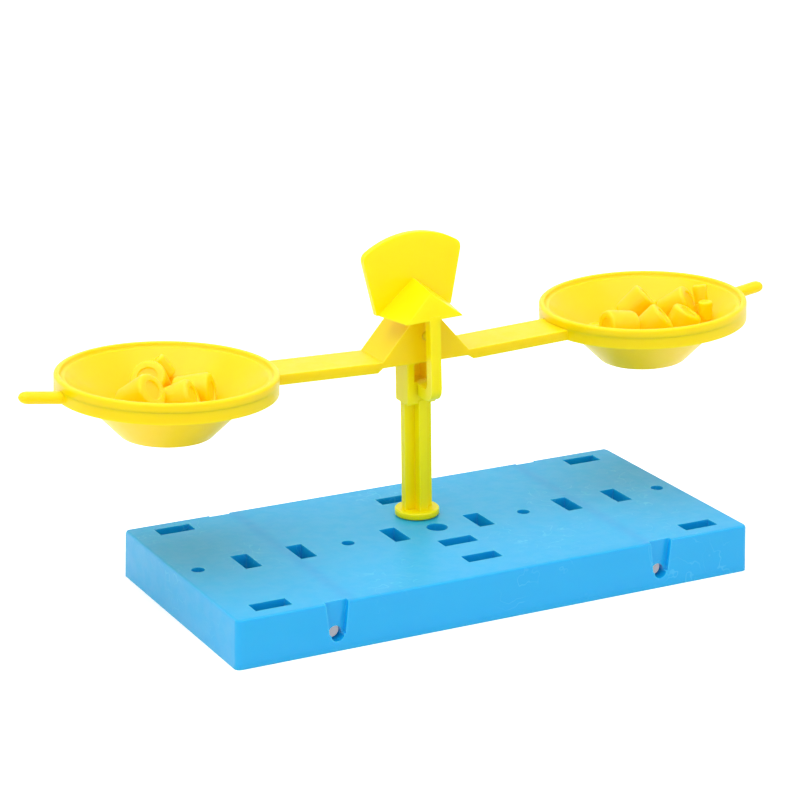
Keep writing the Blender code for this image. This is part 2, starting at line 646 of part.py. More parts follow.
def stem_outline(top):
    """Return the stem's side outline: straight down the front, round the elbow and back to the block."""
    front, foot = -GABLE_FRONT, -STEM_FOOT
    back = front + STEM_THICKNESS
    face = -BLOCK_FRONT - GAP
    ledge = foot + FOOT_THICKNESS
    points = [(front, top)]
    points += arc_points((front + ELBOW_RADIUS, foot + ELBOW_RADIUS), ELBOW_RADIUS, 180.0, 270.0,
                         CORNER_SEGMENTS)
    points += [(face, foot), (face, ledge + FOOT_FILLET)]
    points += arc_points((face - FOOT_FILLET, ledge + FOOT_FILLET), FOOT_FILLET, 0.0, -90.0,
                         CORNER_SEGMENTS)[1:]
    points += arc_points((back + FOOT_FILLET, ledge + FOOT_FILLET), FOOT_FILLET, 270.0, 180.0,
                         CORNER_SEGMENTS)
    points.append((back, top))
    return points


def make_bracket(shop, material, parent):
    """Build the pointer bracket: plate, hollow gable roof, stem, elbow and the peg in the block."""
    fan_turn = Matrix.Translation((0, FAN_SETBACK, FAN_FOOT)) @ UPRIGHT
    fan = plate_mesh("pointer_bracket", fan_outline(), FAN_THICKNESS, fan_turn)
    bracket = shop.part("pointer_bracket", fan, material, parent)
    round_edges(bracket, FAN_EDGE_RADIUS)

    inside_fan = FAN_FACE - FAN_THICKNESS / 2
    roof = gable_mesh("bracket_gable", FAN_FOOT, inside_fan, gable_half(inside_fan), ridge_height(inside_fan),
                      GABLE_FRONT, gable_half(GABLE_FRONT), GABLE_FRONT - GABLE_CROWN_SETBACK, GABLE_FRONT_HEIGHT)
    combine(bracket, shop.tool("bracket_gable", roof, parent), "UNION")

    slope = math.atan2(GABLE_BACK_HEIGHT, gable_half(FAN_FACE))
    side_step, crown_step = GABLE_WALL / math.sin(slope), GABLE_WALL / math.cos(slope)
    back_depth = FAN_FACE - FAN_THICKNESS - OVERRUN
    front_depth = GABLE_FRONT - GABLE_WALL
    crown_depth = crown_depth_at(front_depth, crown_step)
    back_height, crown_height = ridge_height(back_depth) - crown_step, ridge_height(crown_depth) - crown_step
    below = OVERRUN / math.tan(slope)
    front_below = front_depth + OVERRUN * GABLE_CROWN_SETBACK / GABLE_FRONT_HEIGHT
    hollow = gable_mesh("bracket_hollow", FAN_FOOT - OVERRUN, back_depth, gable_half(back_depth) - side_step + below,
                        back_height + OVERRUN, front_below, gable_half(front_depth) - side_step + below,
                        crown_depth, crown_height + OVERRUN)
    combine(bracket, shop.tool("bracket_hollow", hollow, parent), "DIFFERENCE")

    stem = plate_mesh("bracket_stem", stem_outline(FAN_FOOT + GABLE_WALL / 2), STEM_WIDTH, SIDEWAYS)
    combine(bracket, shop.tool("bracket_stem", stem, parent), "UNION")

    peg_box = ((-PEG_WIDTH / 2, -BLOCK_FRONT - FOOT_FILLET, PEG_LEVEL - PEG_WIDTH / 2),
               (PEG_WIDTH / 2, -BLOCK_FRONT + PEG_LENGTH, PEG_LEVEL + PEG_WIDTH / 2))
    peg = boxes_mesh("bracket_peg", [peg_box])
    combine(bracket, shop.tool("bracket_peg", peg, parent), "UNION")
    return bracket


def beam_outline():
    """Return the beam's side outline: two rising arms and the peaked hub between them."""
    run = ARM_END - HUB_FOOT
    end_top = -ARM_DROP + run * math.tan(RISE)
    underside = -ARM_DROP - ARM_THICKNESS
    half = [(0.0, HUB_RISE), (HUB_FOOT, -ARM_DROP), (ARM_END, end_top), (ARM_END, end_top - ARM_THICKNESS),
            (HUB_FOOT + HUB_CHAMFER, underside + HUB_CHAMFER * math.tan(RISE)),
            (HUB_FOOT, underside + HUB_LIFT)]
    left = [(-across, along) for across, along in reversed(half[1:])]
    return half + left


def hub_cavity_outline():
    """Return the outline of the space under the hub's two slopes, open below."""
    foot = -ARM_DROP - ARM_THICKNESS + HUB_LIFT - OVERRUN
    crown = HUB_RISE - HUB_STRIP / math.cos(HUB_SLOPE)
    half = (crown - foot) / math.tan(HUB_SLOPE)
    return [(-half, foot), (half, foot), (0.0, crown)]


def side_rotation(side):
    """Return the turn about Y that lifts a ring's outer end by the arms' rise."""
    return (0.0, -side * RISE, 0.0)


def tab_section():
    """Return the finger tab's half section, from inside the ring's band to its round tip, as radius and reach."""
    start = RING_RADIUS - RING_BAND / 2
    tip = RING_RADIUS + TAB_LENGTH - TAB_WIDTH / 2
    points = [(0.0, RING_RADIUS + TAB_LENGTH)]
    points += arc_points((0.0, tip), TAB_WIDTH / 2, 90.0, 0.0, CORNER_SEGMENTS)[1:]
    points += [(TAB_WIDTH / 2, start), (0.0, start)]
    return points


def make_beam(shop, material, pivot, frames):
    """Build the beam about its pivot: arms and hollow hub, with a ring and a tab at each end."""
    beam = shop.part("beam", plate_mesh("beam", beam_outline(), ARM_WIDTH, UPRIGHT), material, pivot)
    cavity = plate_mesh("beam_hub_cavity", hub_cavity_outline(), ARM_WIDTH - 2 * HUB_WEB, UPRIGHT)
    combine(beam, shop.tool("beam_hub_cavity", cavity, pivot), "DIFFERENCE")

    inner, half = RING_RADIUS - RING_BAND, RING_HEIGHT / 2
    section = [(RING_RADIUS, half), (RING_RADIUS, -half), (inner, -half), (inner, half)]
    for frame, label, side in zip(frames, ("left", "right"), (-1, 1)):
        ring = shop.tool(f"beam_ring_{label}", profile_mesh("beam_ring", section, True), frame)
        turn(ring, FINE_SEGMENTS)
        combine(beam, ring, "UNION")
        outwards = (0, side * (math.pi / 2 - TAB_PITCH), 0)
        tab = shop.tool(f"beam_tab_{label}", profile_mesh("beam_tab", tab_section(), True), frame,
                        (0, 0, TAB_LEVEL), outwards)
        tab.scale = (TAB_THICKNESS / TAB_WIDTH, 1, 1)
        turn(tab, ROUND_SEGMENTS)
        combine(beam, tab, "UNION")

    reach = ARM_WIDTH / 2 + OVERRUN
    bore = cylinders_mesh("beam_pin_bore", [(0.0, 0.0)], PIN_DIAMETER + RUNNING_GAP * 2, -reach, reach,
                          axis="Y")
    combine(beam, shop.tool("beam_pin_bore", bore, pivot), "DIFFERENCE")
    return beam


def bowl_inside():
    """Return the pan's inner profile from its axis outwards, as radius and height."""
    floor = PAN_FLOOR + PAN_FLOOR_WALL
    ledge = FLANGE_SEAT + PAN_FLANGE_HEIGHT - PAN_LEDGE_DEPTH
    floor_edge = PAN_FLOOR_RADIUS - PAN_FLOOR_WALL / 2
    return [(0.0, floor), (floor_edge, floor), (PAN_MOUTH_RADIUS, ledge)]


def bowl_height(radius):
    """Return the height of the pan's inner surface at a radius."""
    (_, floor), (edge, _), (mouth, ledge) = bowl_inside()
    if radius <= edge:
        return floor
    return floor + (radius - edge) * (ledge - floor) / (mouth - edge)


def pan_profile():
    """Return the pan's whole section: down the outside from the lip, then up the inside to the axis."""
    (_, floor), (edge, _), (mouth, ledge) = bowl_inside()
    top = FLANGE_SEAT + PAN_FLANGE_HEIGHT
    slope = math.atan2(ledge - floor, mouth - edge)
    skirt = mouth + (FLANGE_SEAT - ledge) / math.tan(slope) + PAN_SIDE_WALL * math.cos(slope)
    skirt = min(skirt, RING_RADIUS - RING_BAND - GAP)
    fillet_run = PAN_FILLET * math.tan(slope / 2)
    outer_foot = [(PAN_FLOOR_RADIUS + fillet_run * math.cos(slope), PAN_FLOOR + fillet_run * math.sin(slope)),
                  (PAN_FLOOR_RADIUS - fillet_run, PAN_FLOOR)]
    lip = arc_points((RING_RADIUS - PAN_LIP_RADIUS, top - PAN_LIP_RADIUS), PAN_LIP_RADIUS, 90.0, 0.0, 3)
    inner_lip = RING_RADIUS - PAN_LIP_RADIUS - (PAN_LIP_WIDTH - PAN_LIP_RADIUS)
    profile = [(inner_lip, top)] + lip
    profile += [(RING_RADIUS, FLANGE_SEAT), (skirt, FLANGE_SEAT)]
    profile += outer_foot + [(0.0, PAN_FLOOR), (0.0, floor), (edge, floor), (mouth, ledge), (inner_lip, ledge)]
    return profile


def make_pan(shop, material, frame, label):
    """Build one lift-out pan, whose flange sits on its ring."""
    pan = shop.part(f"pan_{label}", profile_mesh("pan", pan_profile(), True), material, frame)
    turn(pan, FINE_SEGMENTS)
    return pan


def weight_profile(kind, scale):
    """Return a weight's section about its own axis, with the wide, recessed end at the top."""
    big = kind == "big"
    radius = (BIG_DIAMETER if big else SMALL_DIAMETER) / 2 * scale
    half = (BIG_LENGTH if big else SMALL_LENGTH) / 2 * scale
    foot_radius = radius - (BIG_TAPER if big else SMALL_TAPER) / 2 * scale
    edge = (BIG_EDGE_RADIUS if big else SMALL_EDGE_RADIUS) * scale
    recess = (BIG_RECESS_DIAMETER if big else SMALL_RECESS_DIAMETER) / 2 * scale
    depth = (BIG_RECESS_DEPTH if big else SMALL_RECESS_DEPTH) * scale
    profile = [(recess, half)]
    profile += arc_points((radius - edge, half - edge), edge, 90.0, 0.0, 2)
    profile += arc_points((foot_radius - edge, -half + edge), edge, 0.0, -90.0, 2)
    profile += [(0.0, -half), (0.0, half - depth), (recess, half - depth)]
    return profile


def turned_volume(profile):
    """Return the volume of a turned section and the height of its centre of mass."""
    volume = 0.0
    moment = 0.0
    for (r1, z1), (r2, z2) in zip(profile, profile[1:] + profile[:1]):
        slab = math.pi * (r1 * r1 + r1 * r2 + r2 * r2) / 3 * (z1 - z2)
        volume += slab
        moment += slab * (z1 + z2) / 2
    return volume, moment / volume


def side_moment(shares, side):
    """Return the turning moment of one pan's full-size weights about the pivot, per unit density."""
    total = 0.0
    for kind, across_share, *_ in shares:
        volume, _ = turned_volume(weight_profile(kind, 1.0))
        total += volume * (REACH + side * across_share * PAN_MOUTH_RADIUS)
    return total


def weight_pose(kind, across_share, depth_share, turn_degrees, lean_degrees, raised_share, scale):
    """Return a weight's matrix in its pan's frame, let down towards the bowl as far as the others allow."""
    across, depth = across_share * PAN_MOUTH_RADIUS, depth_share * PAN_MOUTH_RADIUS
    rotation = Matrix.Rotation(math.radians(turn_degrees), 4, "Z")
    rotation = rotation @ Matrix.Rotation(math.radians(90.0 - lean_degrees), 4, "Y")
    lift = -math.inf
    steps = ROUND_SEGMENTS
    for radius, height in weight_profile(kind, scale):
        for index in range(steps):
            angle = 2 * math.pi * index / steps
            point = rotation @ Vector((radius * math.cos(angle), radius * math.sin(angle), height))
            distance = math.hypot(across + point.x, depth + point.y)
            lift = max(lift, bowl_height(distance) + GAP - point.z)
    lift += raised_share * PAN_DEPTH
    return Matrix.Translation((across, depth, lift)) @ rotation


def make_weights(shop, material, pan, label, shares, scale):
    """Build the loose weights that lie in one pan."""
    for number, (kind, across, depth, turned, leaning, raised) in enumerate(shares, start=1):
        mesh = profile_mesh(f"weight_{kind}", weight_profile(kind, scale), True)
        weight = shop.part(f"weight_{label}_{number}", mesh, material, pan)
        weight.matrix_local = weight_pose(kind, across, depth, turned, leaning, raised, scale)
        turn(weight, ROUND_SEGMENTS)


def main():
    """Build the balance scale."""
    for item in list(bpy.data.objects):
        bpy.data.objects.remove(item, do_unlink=True)
    shop = Workshop()
    blue = make_material("sky_blue_plastic", (0.10, 0.52, 0.88), 0.35)
    lemon = {name: make_material(f"{name}_plastic", (0.96, 0.84, 0.02), 0.35)
             for name in ("post", "bracket", "pin", "beam", "pan", "weight")}

    stand = shop.empty("stand", None, (LEAN_SHIFT, -CENTRE_SHIFT, 0))
    make_base(shop, blue, stand)
    post_axis = shop.empty("post_axis", stand, (0, POST_Y, BASE_TOP), (0, -POST_LEAN, 0))
    make_post(shop, lemon["post"], post_axis)
    head = shop.empty("head", post_axis, (0, 0, PIVOT_HEIGHT))
    make_pin(shop, lemon["pin"], head)
    peg_axis = shop.empty("peg_axis", head, (0, 0, PEG_LEVEL), (0, -math.radians(BRACKET_LEAN_DEGREES), 0))
    make_bracket(shop, lemon["bracket"], shop.empty("bracket_head", peg_axis, (0, 0, -PEG_LEVEL)))
    pivot = shop.empty("beam_pivot", head, (0, 0, 0), (0, POST_LEAN - BEAM_TILT, 0))
    frames = [shop.empty(f"ring_frame_{label}", pivot, (side * REACH, 0, -RING_DROP), side_rotation(side))
              for side, label in ((-1, "left"), (1, "right"))]
    make_beam(shop, lemon["beam"], pivot, frames)

    right_scale = (side_moment(LEFT_WEIGHT_SHARES, -1) / side_moment(RIGHT_WEIGHT_SHARES, 1)) ** (1 / 3)
    for frame, label, shares, scale in ((frames[0], "left", LEFT_WEIGHT_SHARES, WEIGHT_SCALE),
                                        (frames[1], "right", RIGHT_WEIGHT_SHARES, WEIGHT_SCALE * right_scale)):
        pan = make_pan(shop, lemon["pan"], frame, label)
        make_weights(shop, lemon["weight"], pan, label, shares, scale)
    bpy.context.view_layer.update()


main()
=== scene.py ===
"""Looks of a toy balance scale in soft-gloss injection-moulded plastic.

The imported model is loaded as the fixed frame. The rigid castings keep their CAD shape and get the rounded
edges of moulded parts, the two pans are turned anew with their true lip and fillets, and each finish is a
procedural plastic. The scene is in metres, in the CAD's own frame: +X along the beam to its right arm, +Y to
the back, +Z up. Lengths given in millimetres are multiplied by MM where they are used.
"""
from __future__ import annotations

import json
import logging
import math
from dataclasses import dataclass
from enum import Enum
from typing import ClassVar

import bmesh
import bpy
from mathutils import Matrix, Vector

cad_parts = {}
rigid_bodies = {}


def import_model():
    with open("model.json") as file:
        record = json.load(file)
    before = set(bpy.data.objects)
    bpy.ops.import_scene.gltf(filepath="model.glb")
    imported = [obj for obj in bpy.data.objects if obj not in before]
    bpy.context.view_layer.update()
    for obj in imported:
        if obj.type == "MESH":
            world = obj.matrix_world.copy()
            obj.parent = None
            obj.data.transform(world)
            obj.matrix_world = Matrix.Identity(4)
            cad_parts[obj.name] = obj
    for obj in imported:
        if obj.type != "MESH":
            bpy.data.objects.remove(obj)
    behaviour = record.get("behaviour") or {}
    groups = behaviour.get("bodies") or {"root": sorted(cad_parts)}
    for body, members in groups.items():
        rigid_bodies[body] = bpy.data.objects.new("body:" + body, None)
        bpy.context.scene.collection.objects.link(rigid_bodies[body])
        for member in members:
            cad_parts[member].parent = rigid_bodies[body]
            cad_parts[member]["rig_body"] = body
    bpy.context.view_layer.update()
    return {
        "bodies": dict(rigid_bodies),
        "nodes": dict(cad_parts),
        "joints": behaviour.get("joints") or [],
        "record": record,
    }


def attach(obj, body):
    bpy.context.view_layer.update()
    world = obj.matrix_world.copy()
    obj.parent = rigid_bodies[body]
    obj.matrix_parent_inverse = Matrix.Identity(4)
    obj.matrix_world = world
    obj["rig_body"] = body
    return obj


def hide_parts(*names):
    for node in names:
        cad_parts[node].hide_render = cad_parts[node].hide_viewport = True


LOG = logging.getLogger("balance_scale")
MM = 0.001
WHITE = (1.0, 1.0, 1.0, 1.0)

# Sockets of a Mix node that is set to colours
MIX_SHARE_INPUT = 0
MIX_FIRST_INPUT = 6
MIX_SECOND_INPUT = 7
MIX_RESULT_OUTPUT = 2

# The Weighted Normal modifier's pull towards large faces: 50 is neutral and 100 the strongest
FLAT_WEIGHT = 100


class Side(Enum):
    """The two ends of the beam."""

    LEFT = -1
    RIGHT = 1

    @property
    def label(self) -> str:
        """The side's name as the CAD nodes spell it."""
        return self.name.lower()


class Socket(Enum):
    """Kinds of node-group socket."""

    VALUE = "NodeSocketFloat"
    VECTOR = "NodeSocketVector"


def to_linear(colour: tuple[int, int, int]) -> tuple[float, float, float, float]:
    """Turn a screen colour into Blender's linear one.

    Args:
        colour: Red, green and blue from 0 to 255.

    Returns:
        The linear colour with full alpha.
    """
    def channel(value: int) -> float:
        """Return one channel in linear light."""
        share = value / 255
        return share / 12.92 if share <= 0.04045 else ((share + 0.055) / 1.055) ** 2.4

    red, green, blue = colour
    return channel(red), channel(green), channel(blue), 1.0


@dataclass(frozen=True)
class Cells:
    """A noise texture's settings: cells per metre, octaves and the strength of the finer octaves."""

    scale: float
    detail: float
    roughness: float


@dataclass
class Wiring:
    """A node tree with short calls to add and join nodes."""

    tree: bpy.types.NodeTree

    def add(self, kind: str, **settings: object) -> bpy.types.Node:
        """Add a node and set its properties.

        Args:
            kind: The node's type name.
            settings: Property values by name.

        Returns:
            The new node.
        """
        node = self.tree.nodes.new(kind)
        for name, value in settings.items():
            setattr(node, name, value)
        return node

    def feed(self, target: bpy.types.NodeSocket, value: object) -> None:
        """Link an output to a socket, or set the socket's own value.

        Args:
            target: The input socket.
            value: An output socket, a number or a tuple.
        """
        if isinstance(value, bpy.types.NodeSocket):
            self.tree.links.new(value, target)
        else:
            target.default_value = value

    def math(self, operation: str, *values: object, clamp: bool = False) -> bpy.types.NodeSocket:
        """Add a Math node.

        Args:
            operation: The node's operation.
            values: Its inputs in order, as sockets or numbers.
            clamp: Whether the result is kept from 0 to 1.

        Returns:
            The result socket.
        """
        node = self.add("ShaderNodeMath", operation=operation, use_clamp=clamp)
        for target, value in zip(node.inputs, values):
            self.feed(target, value)
        return node.outputs[0]

    def mix(self, share: object, first: object, second: object) -> bpy.types.NodeSocket:
        """Add a colour Mix node.

        Args:
            share: The mixing factor.
            first: The colour at 0.
            second: The colour at 1.

        Returns:
            The mixed colour's socket.
        """
        node = self.add("ShaderNodeMix", data_type="RGBA", blend_type="MIX", clamp_factor=True)
        self.feed(node.inputs[MIX_SHARE_INPUT], share)
        self.feed(node.inputs[MIX_FIRST_INPUT], first)
        self.feed(node.inputs[MIX_SECOND_INPUT], second)
        return node.outputs[MIX_RESULT_OUTPUT]

    def ramp(self, value: object, low: float, high: float, bottom: float = 0.0,
             top: float = 1.0) -> bpy.types.NodeSocket:
        """Map a value smoothly from one range to another.

        Args:
            value: The incoming value.
            low: Where the bottom result is reached.
            high: Where the top result is reached.
            bottom: The result at low.
            top: The result at high.

        Returns:
            The mapped value's socket.
        """
        node = self.add("ShaderNodeMapRange", interpolation_type="SMOOTHSTEP", clamp=True)
        for name, number in (("From Min", low), ("From Max", high), ("To Min", bottom), ("To Max", top)):
            node.inputs[name].default_value = number
        self.feed(node.inputs["Value"], value)
        return node.outputs["Result"]

    def noise(self, place: object, cells: Cells) -> bpy.types.NodeSocket:
        """Add a noise texture.

        Args:
            place: The coordinate socket.
            cells: The texture's settings.

        Returns:
            The noise value's socket.
        """
        node = self.add("ShaderNodeTexNoise")
        self.feed(node.inputs["Vector"], place)
        node.inputs["Scale"].default_value = cells.scale
        node.inputs["Detail"].default_value = cells.detail
        node.inputs["Roughness"].default_value = cells.roughness
        return node.outputs["Fac"]


class EffectGroups:
    """The shader node groups that the plastics share, each built once."""

    CLOUD = Cells(38.0, 3.0, 0.55)
    CLOUD_SHARE = 0.6
    FLOW = Cells(120.0, 4.0, 0.6)
    FLOW_SHARE = 0.4
    FLOW_STRETCH = (0.35, 1.0, 1.3)
    GRAIN = Cells(2600.0, 3.0, 0.6)
    GLOSS = Cells(210.0, 5.0, 0.65)
    # Reach, samples and sharpness of the edge finder that places the painted edge highlight
    EDGE_REACH = 0.9 * MM
    EDGE_SAMPLES = 4
    EDGE_SHARPNESS = 4.0
    SINK_REACH = 2.0 * MM
    SCUFF_WAVE = {"Scale": 70.0, "Distortion": 26.0, "Detail": 3.0, "Detail Scale": 1.1}
    SCUFF_LINE_RANGE = (0.965, 1.0)
    SCUFF_PATCH = Cells(46.0, 3.0, 0.5)
    SCUFF_PATCH_RANGE = (0.52, 0.66)
    SCUFF_SPREAD = 0.5

    def __init__(self) -> None:
        """Build every group."""
        self.skin = self._mould_skin()
        self.edge = self._soft_edge()
        self.sink = self._sink_line()
        self.scuff = self._scuff_hairlines()

    @staticmethod
    def _begin(name: str, inputs: dict[str, tuple[Socket, object]],
               outputs: dict[str, Socket]) -> tuple[Wiring, bpy.types.Node, bpy.types.Node]:
        """Open a new group with its sockets.

        Args:
            name: The group's name.
            inputs: Socket kind and default by name.
            outputs: Socket kind by name.

        Returns:
            The wiring, the group's input node and its output node.
        """
        tree = bpy.data.node_groups.new(name, "ShaderNodeTree")
        for label, (kind, default) in inputs.items():
            socket = tree.interface.new_socket(name=label, in_out="INPUT", socket_type=kind.value)
            if default is not None:
                socket.default_value = default
        for label, kind in outputs.items():
            tree.interface.new_socket(name=label, in_out="OUTPUT", socket_type=kind.value)
        wiring = Wiring(tree)
        return wiring, wiring.add("NodeGroupInput"), wiring.add("NodeGroupOutput")

    def _mould_skin(self) -> bpy.types.NodeTree:
        """Build the moulded skin: slow colour clouds, flow streaks and the fine grain of the tool's surface.

        Returns:
            The node group.
        """
        wiring, given, result = self._begin(
            "mould_skin", {"Place": (Socket.VECTOR, None)},
            {"Cloud": Socket.VALUE, "Grain": Socket.VALUE, "Gloss": Socket.VALUE})
        place = given.outputs["Place"]
        cloud = wiring.noise(place, self.CLOUD)
        stretch = wiring.add("ShaderNodeMapping")
        wiring.feed(stretch.inputs["Vector"], place)
        stretch.inputs["Scale"].default_value = self.FLOW_STRETCH
        flow = wiring.noise(stretch.outputs["Vector"], self.FLOW)
        cloud_part = wiring.math("MULTIPLY", cloud, self.CLOUD_SHARE)
        flow_part = wiring.math("MULTIPLY", flow, self.FLOW_SHARE)
        wiring.feed(result.inputs["Cloud"], wiring.math("ADD", cloud_part, flow_part))
        wiring.feed(result.inputs["Grain"], wiring.noise(place, self.GRAIN))
        wiring.feed(result.inputs["Gloss"], wiring.noise(place, self.GLOSS))
        return wiring.tree

    def _soft_edge(self) -> bpy.types.NodeTree:
        """Build the edge finder, which tells how far the surface turns within a radius; the painted edge
        highlight follows it.

        Returns:
            The node group.
        """
        wiring, given, result = self._begin("soft_edge", {"Sharpness": (Socket.VALUE, self.EDGE_SHARPNESS)},
                                            {"Edge": Socket.VALUE})
        bevel = wiring.add("ShaderNodeBevel", samples=self.EDGE_SAMPLES)
        bevel.inputs["Radius"].default_value = self.EDGE_REACH
        geometry = wiring.add("ShaderNodeNewGeometry")
        dot = wiring.add("ShaderNodeVectorMath", operation="DOT_PRODUCT")
        wiring.feed(dot.inputs[0], bevel.outputs["Normal"])
        wiring.feed(dot.inputs[1], geometry.outputs["Normal"])
        turned = wiring.math("SUBTRACT", 1.0, dot.outputs["Value"])
        edge = wiring.math("MULTIPLY", turned, given.outputs["Sharpness"], clamp=True)
        wiring.feed(result.inputs["Edge"], edge)
        return wiring.tree

    def _sink_line(self) -> bpy.types.NodeTree:
        """Build a soft line's mask where a rib below has drawn the surface in; it places the painted shade of
        that shallow dent.

        Returns:
            The node group.
        """
        inputs = {"Along": (Socket.VALUE, 0.0), "Line": (Socket.VALUE, 0.0),
                  "Reach": (Socket.VALUE, self.SINK_REACH)}
        wiring, given, result = self._begin("sink_line", inputs, {"Mask": Socket.VALUE})
        away = wiring.math("SUBTRACT", given.outputs["Along"], given.outputs["Line"])
        away = wiring.math("ABSOLUTE", away)
        share = wiring.math("DIVIDE", away, given.outputs["Reach"])
        wiring.feed(result.inputs["Mask"], wiring.ramp(share, 0.0, 1.0, 1.0, 0.0))
        return wiring.tree

    def _scuff_hairlines(self) -> bpy.types.NodeTree:
        """Build fine curved handling scratches in loose patches.

        Returns:
            The node group.
        """
        wiring, given, result = self._begin(
            "scuff_hairlines", {"Place": (Socket.VECTOR, None), "Spread": (Socket.VALUE, self.SCUFF_SPREAD)},
            {"Mask": Socket.VALUE})
        place = given.outputs["Place"]
        wave = wiring.add("ShaderNodeTexWave", wave_type="BANDS", bands_direction="DIAGONAL")
        wiring.feed(wave.inputs["Vector"], place)
        for name, number in self.SCUFF_WAVE.items():
            wave.inputs[name].default_value = number
        line = wiring.ramp(wave.outputs["Fac"], *self.SCUFF_LINE_RANGE)
        patch = wiring.ramp(wiring.noise(place, self.SCUFF_PATCH), *self.SCUFF_PATCH_RANGE)
        faint = wiring.math("MULTIPLY", line, patch)
        wiring.feed(result.inputs["Mask"], wiring.math("MULTIPLY", faint, given.outputs["Spread"]))
        return wiring.tree


@dataclass(frozen=True)
class Plastic:
    """One moulded plastic finish: screen colours, light depth by colour in metres, other lengths in mm."""

    name: str
    colour: tuple[int, int, int]
    deep: tuple[int, int, int]
    # The painted highlight that lightens rounded edges and corners; the scuff lines take this colour too
    edge: tuple[int, int, int]
    roughness: float = 0.36
    cloud_share: float = 0.35
    # How far the painted edge highlight goes towards the edge colour
    edge_share: float = 0.5
    translucency: float = 1.0
    depth: tuple[float, float, float] = (0.005, 0.0026, 0.0004)
    grain: float = 0.05
    scuffs: float = 0.0
    sheen: float = 0.25
    ior: float = 1.49
    bump_depth: float = 0.1
    cloud_range: tuple[float, float] = (0.36, 0.66)
    gloss_range: tuple[float, float] = (0.3, 0.7)
    roughness_drop: float = 0.05
    roughness_rise: float = 0.07

    def build(self, groups: EffectGroups) -> bpy.types.Material:
        """Make the material.

        Args:
            groups: The shared effects.

        Returns:
            The finished material.
        """
        material = bpy.data.materials.new(self.name)
        material.use_nodes = True
        wiring = Wiring(material.node_tree)
        shader = material.node_tree.nodes["Principled BSDF"]
        place = wiring.add("ShaderNodeTexCoord").outputs["Object"]
        skin = wiring.add("ShaderNodeGroup", node_tree=groups.skin)
        wiring.feed(skin.inputs["Place"], place)
        edge = wiring.add("ShaderNodeGroup", node_tree=groups.edge)
        cloud = wiring.ramp(skin.outputs["Cloud"], *self.cloud_range, 0.0, self.cloud_share)
        colour = wiring.mix(cloud, to_linear(self.colour), to_linear(self.deep))
        # Painted highlight: rounded edges and corners are lightened towards the edge colour
        lift = wiring.math("MULTIPLY", edge.outputs["Edge"], self.edge_share)
        colour = wiring.mix(lift, colour, to_linear(self.edge))
        colour = self.detail(wiring, groups, place, colour)
        roughness = wiring.ramp(skin.outputs["Gloss"], *self.gloss_range,
                                self.roughness - self.roughness_drop, self.roughness + self.roughness_rise)
        wiring.feed(shader.inputs["Base Color"], colour)
        wiring.feed(shader.inputs["Roughness"], roughness)
        shader.inputs["IOR"].default_value = self.ior
        shader.inputs["Specular IOR Level"].default_value = self.sheen
        shader.inputs["Subsurface Weight"].default_value = self.translucency
        shader.inputs["Subsurface Radius"].default_value = self.depth
        shader.inputs["Subsurface Scale"].default_value = 1.0
        bump = wiring.add("ShaderNodeBump")
        bump.inputs["Strength"].default_value = self.grain
        bump.inputs["Distance"].default_value = self.bump_depth * MM
        wiring.feed(bump.inputs["Height"], skin.outputs["Grain"])
        wiring.feed(shader.inputs["Normal"], bump.outputs["Normal"])
        return material

    def detail(self, wiring: Wiring, groups: EffectGroups, place: bpy.types.NodeSocket,
               colour: bpy.types.NodeSocket) -> bpy.types.NodeSocket:
        """Add the scuffs, if this finish has any.

        Args:
            wiring: The material's tree.
            groups: The shared effects.
            place: Object coordinates.
            colour: The colour so far.

        Returns:
            The colour with the detail.
        """
        if not self.scuffs:
            return colour
        scuff = wiring.add("ShaderNodeGroup", node_tree=groups.scuff)
        wiring.feed(scuff.inputs["Place"], place)
        scuff.inputs["Spread"].default_value = self.scuffs
        return wiring.mix(scuff.outputs["Mask"], colour, to_linear(self.edge))


@dataclass(frozen=True)
class BasePlastic(Plastic):
    """The base's plastic, with painted shade lines standing for the shallow sink dents over the ribs inside
    the shell.
    """

    line_x: tuple[float, ...] = (-45.6, 48.0)
    line_reach: float = 3.2
    # Strength and colour of the painted shade along each sink dent
    line_share: float = 0.4
    line_colour: tuple[int, int, int] = (0, 152, 222)
    top_range: tuple[float, float] = (0.8, 0.95)

    def detail(self, wiring: Wiring, groups: EffectGroups, place: bpy.types.NodeSocket,
               colour: bpy.types.NodeSocket) -> bpy.types.NodeSocket:
        """Add the scuffs, then the painted shade of the sink dents over the ribs on the top face.

        Args:
            wiring: The material's tree.
            groups: The shared effects.
            place: Object coordinates.
            colour: The colour so far.

        Returns:
            The colour with the detail.
        """
        colour = super().detail(wiring, groups, place, colour)
        split = wiring.add("ShaderNodeSeparateXYZ")
        wiring.feed(split.inputs[0], place)
        facing = wiring.add("ShaderNodeSeparateXYZ")
        wiring.feed(facing.inputs[0], wiring.add("ShaderNodeNewGeometry").outputs["Normal"])
        upward = wiring.ramp(facing.outputs["Z"], *self.top_range)
        total: object = 0.0
        for line in self.line_x:
            sink = wiring.add("ShaderNodeGroup", node_tree=groups.sink)
            wiring.feed(sink.inputs["Along"], split.outputs["X"])
            sink.inputs["Line"].default_value = line * MM
            sink.inputs["Reach"].default_value = self.line_reach * MM
            total = wiring.math("ADD", total, sink.outputs["Mask"])
        # Painted shade: a darker line on the top face over each rib stands for its shallow sink dent
        sink_shade_mask = wiring.math("MULTIPLY", total, wiring.math("MULTIPLY", upward, self.line_share))
        return wiring.mix(sink_shade_mask, colour, to_linear(self.line_colour))


